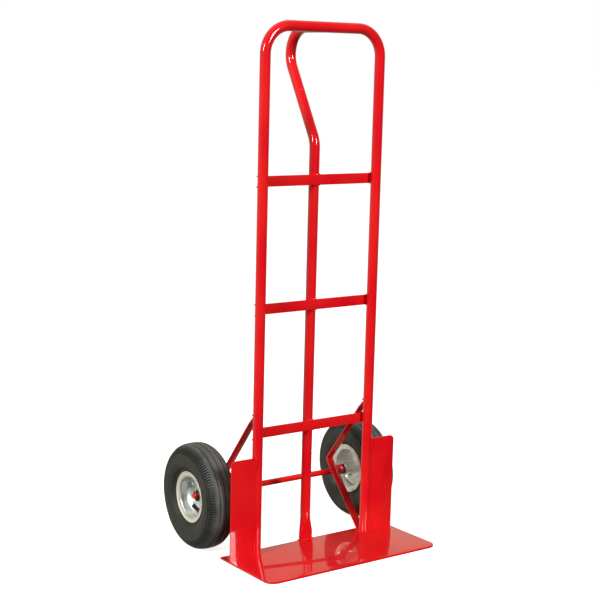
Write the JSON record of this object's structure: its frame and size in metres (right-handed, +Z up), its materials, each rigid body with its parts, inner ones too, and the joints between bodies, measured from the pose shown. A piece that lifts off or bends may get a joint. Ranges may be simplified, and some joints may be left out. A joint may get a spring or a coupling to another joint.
{
  "type": "hand truck",
  "caption": "Two-wheeled sack hand truck: red bent-tube frame with rear grip handle, flat crossbars, wide toe plate, wheel guards and pneumatic tyres on bolted split rims.",
  "frame": {"origin": "on the floor, midway between the two rails, at the point where the rails' plane meets the floor", "axes": "+X to the right for a viewer facing the toe plate, +Y to the rear towards the wheels and the user, +Z up"},
  "size_m": [0.556, 0.4594, 1.2684],
  "materials": {
    "red_paint": "glossy red powder coat",
    "zinc_plate": "bright zinc plating with a faint yellow tint",
    "fastener_steel": "zinc-plated fasteners",
    "bearing_steel": "ground bearing steel",
    "tyre_rubber": "moulded black rubber, satin side walls",
    "tube_rubber": "matte black rubber",
    "valve_rubber": "black rubber"
  },
  "bodies": {
    "frame": {"main_loop_tube": "red_paint", "centre_handle_tube": "red_paint", "lower_crossbar": "red_paint", "middle_crossbar": "red_paint", "upper_crossbar": "red_paint", "toe_plate": "red_paint", "left_wheel_guard": "red_paint", "right_wheel_guard": "red_paint", "left_axle_bracket": "red_paint", "right_axle_bracket": "red_paint", "axle": "red_paint", "left_axle_collar": "red_paint", "right_axle_collar": "red_paint", "inner_washers": "fastener_steel", "outer_washers": "fastener_steel", "split_pins": "fastener_steel", "rail_foot_welds": "red_paint", "crossbar_welds": "red_paint", "handle_welds": "red_paint", "guard_welds": "red_paint", "bracket_welds": "red_paint"},
    "left_wheel": {"left_tyre": "tyre_rubber", "left_inner_tube": "tube_rubber", "left_outer_rim_half": "zinc_plate", "left_inner_rim_half": "zinc_plate", "left_hub": "zinc_plate", "left_bearing_outer_races": "bearing_steel", "left_bearing_inner_races": "bearing_steel", "left_bearing_balls": "bearing_steel", "left_rim_bolts": "fastener_steel", "left_rim_nuts": "fastener_steel", "left_valve_stem": "valve_rubber", "left_valve_cap": "valve_rubber"},
    "right_wheel": {"right_tyre": "tyre_rubber", "right_inner_tube": "tube_rubber", "right_outer_rim_half": "zinc_plate", "right_inner_rim_half": "zinc_plate", "right_hub": "zinc_plate", "right_bearing_outer_races": "bearing_steel", "right_bearing_inner_races": "bearing_steel", "right_bearing_balls": "bearing_steel", "right_rim_bolts": "fastener_steel", "right_rim_nuts": "fastener_steel", "right_valve_stem": "valve_rubber", "right_valve_cap": "valve_rubber"}
  },
  "joints": [
    {"name": "left_wheel_spin", "type": "hinge", "parent": "frame", "child": "left_wheel", "pos_m": [-0.238, 0.1375, 0.13], "axis": [1, 0, 0], "continuous": true},
    {"name": "right_wheel_spin", "type": "hinge", "parent": "frame", "child": "right_wheel", "pos_m": [0.238, 0.1375, 0.13], "axis": [1, 0, 0], "continuous": true}
  ]
}
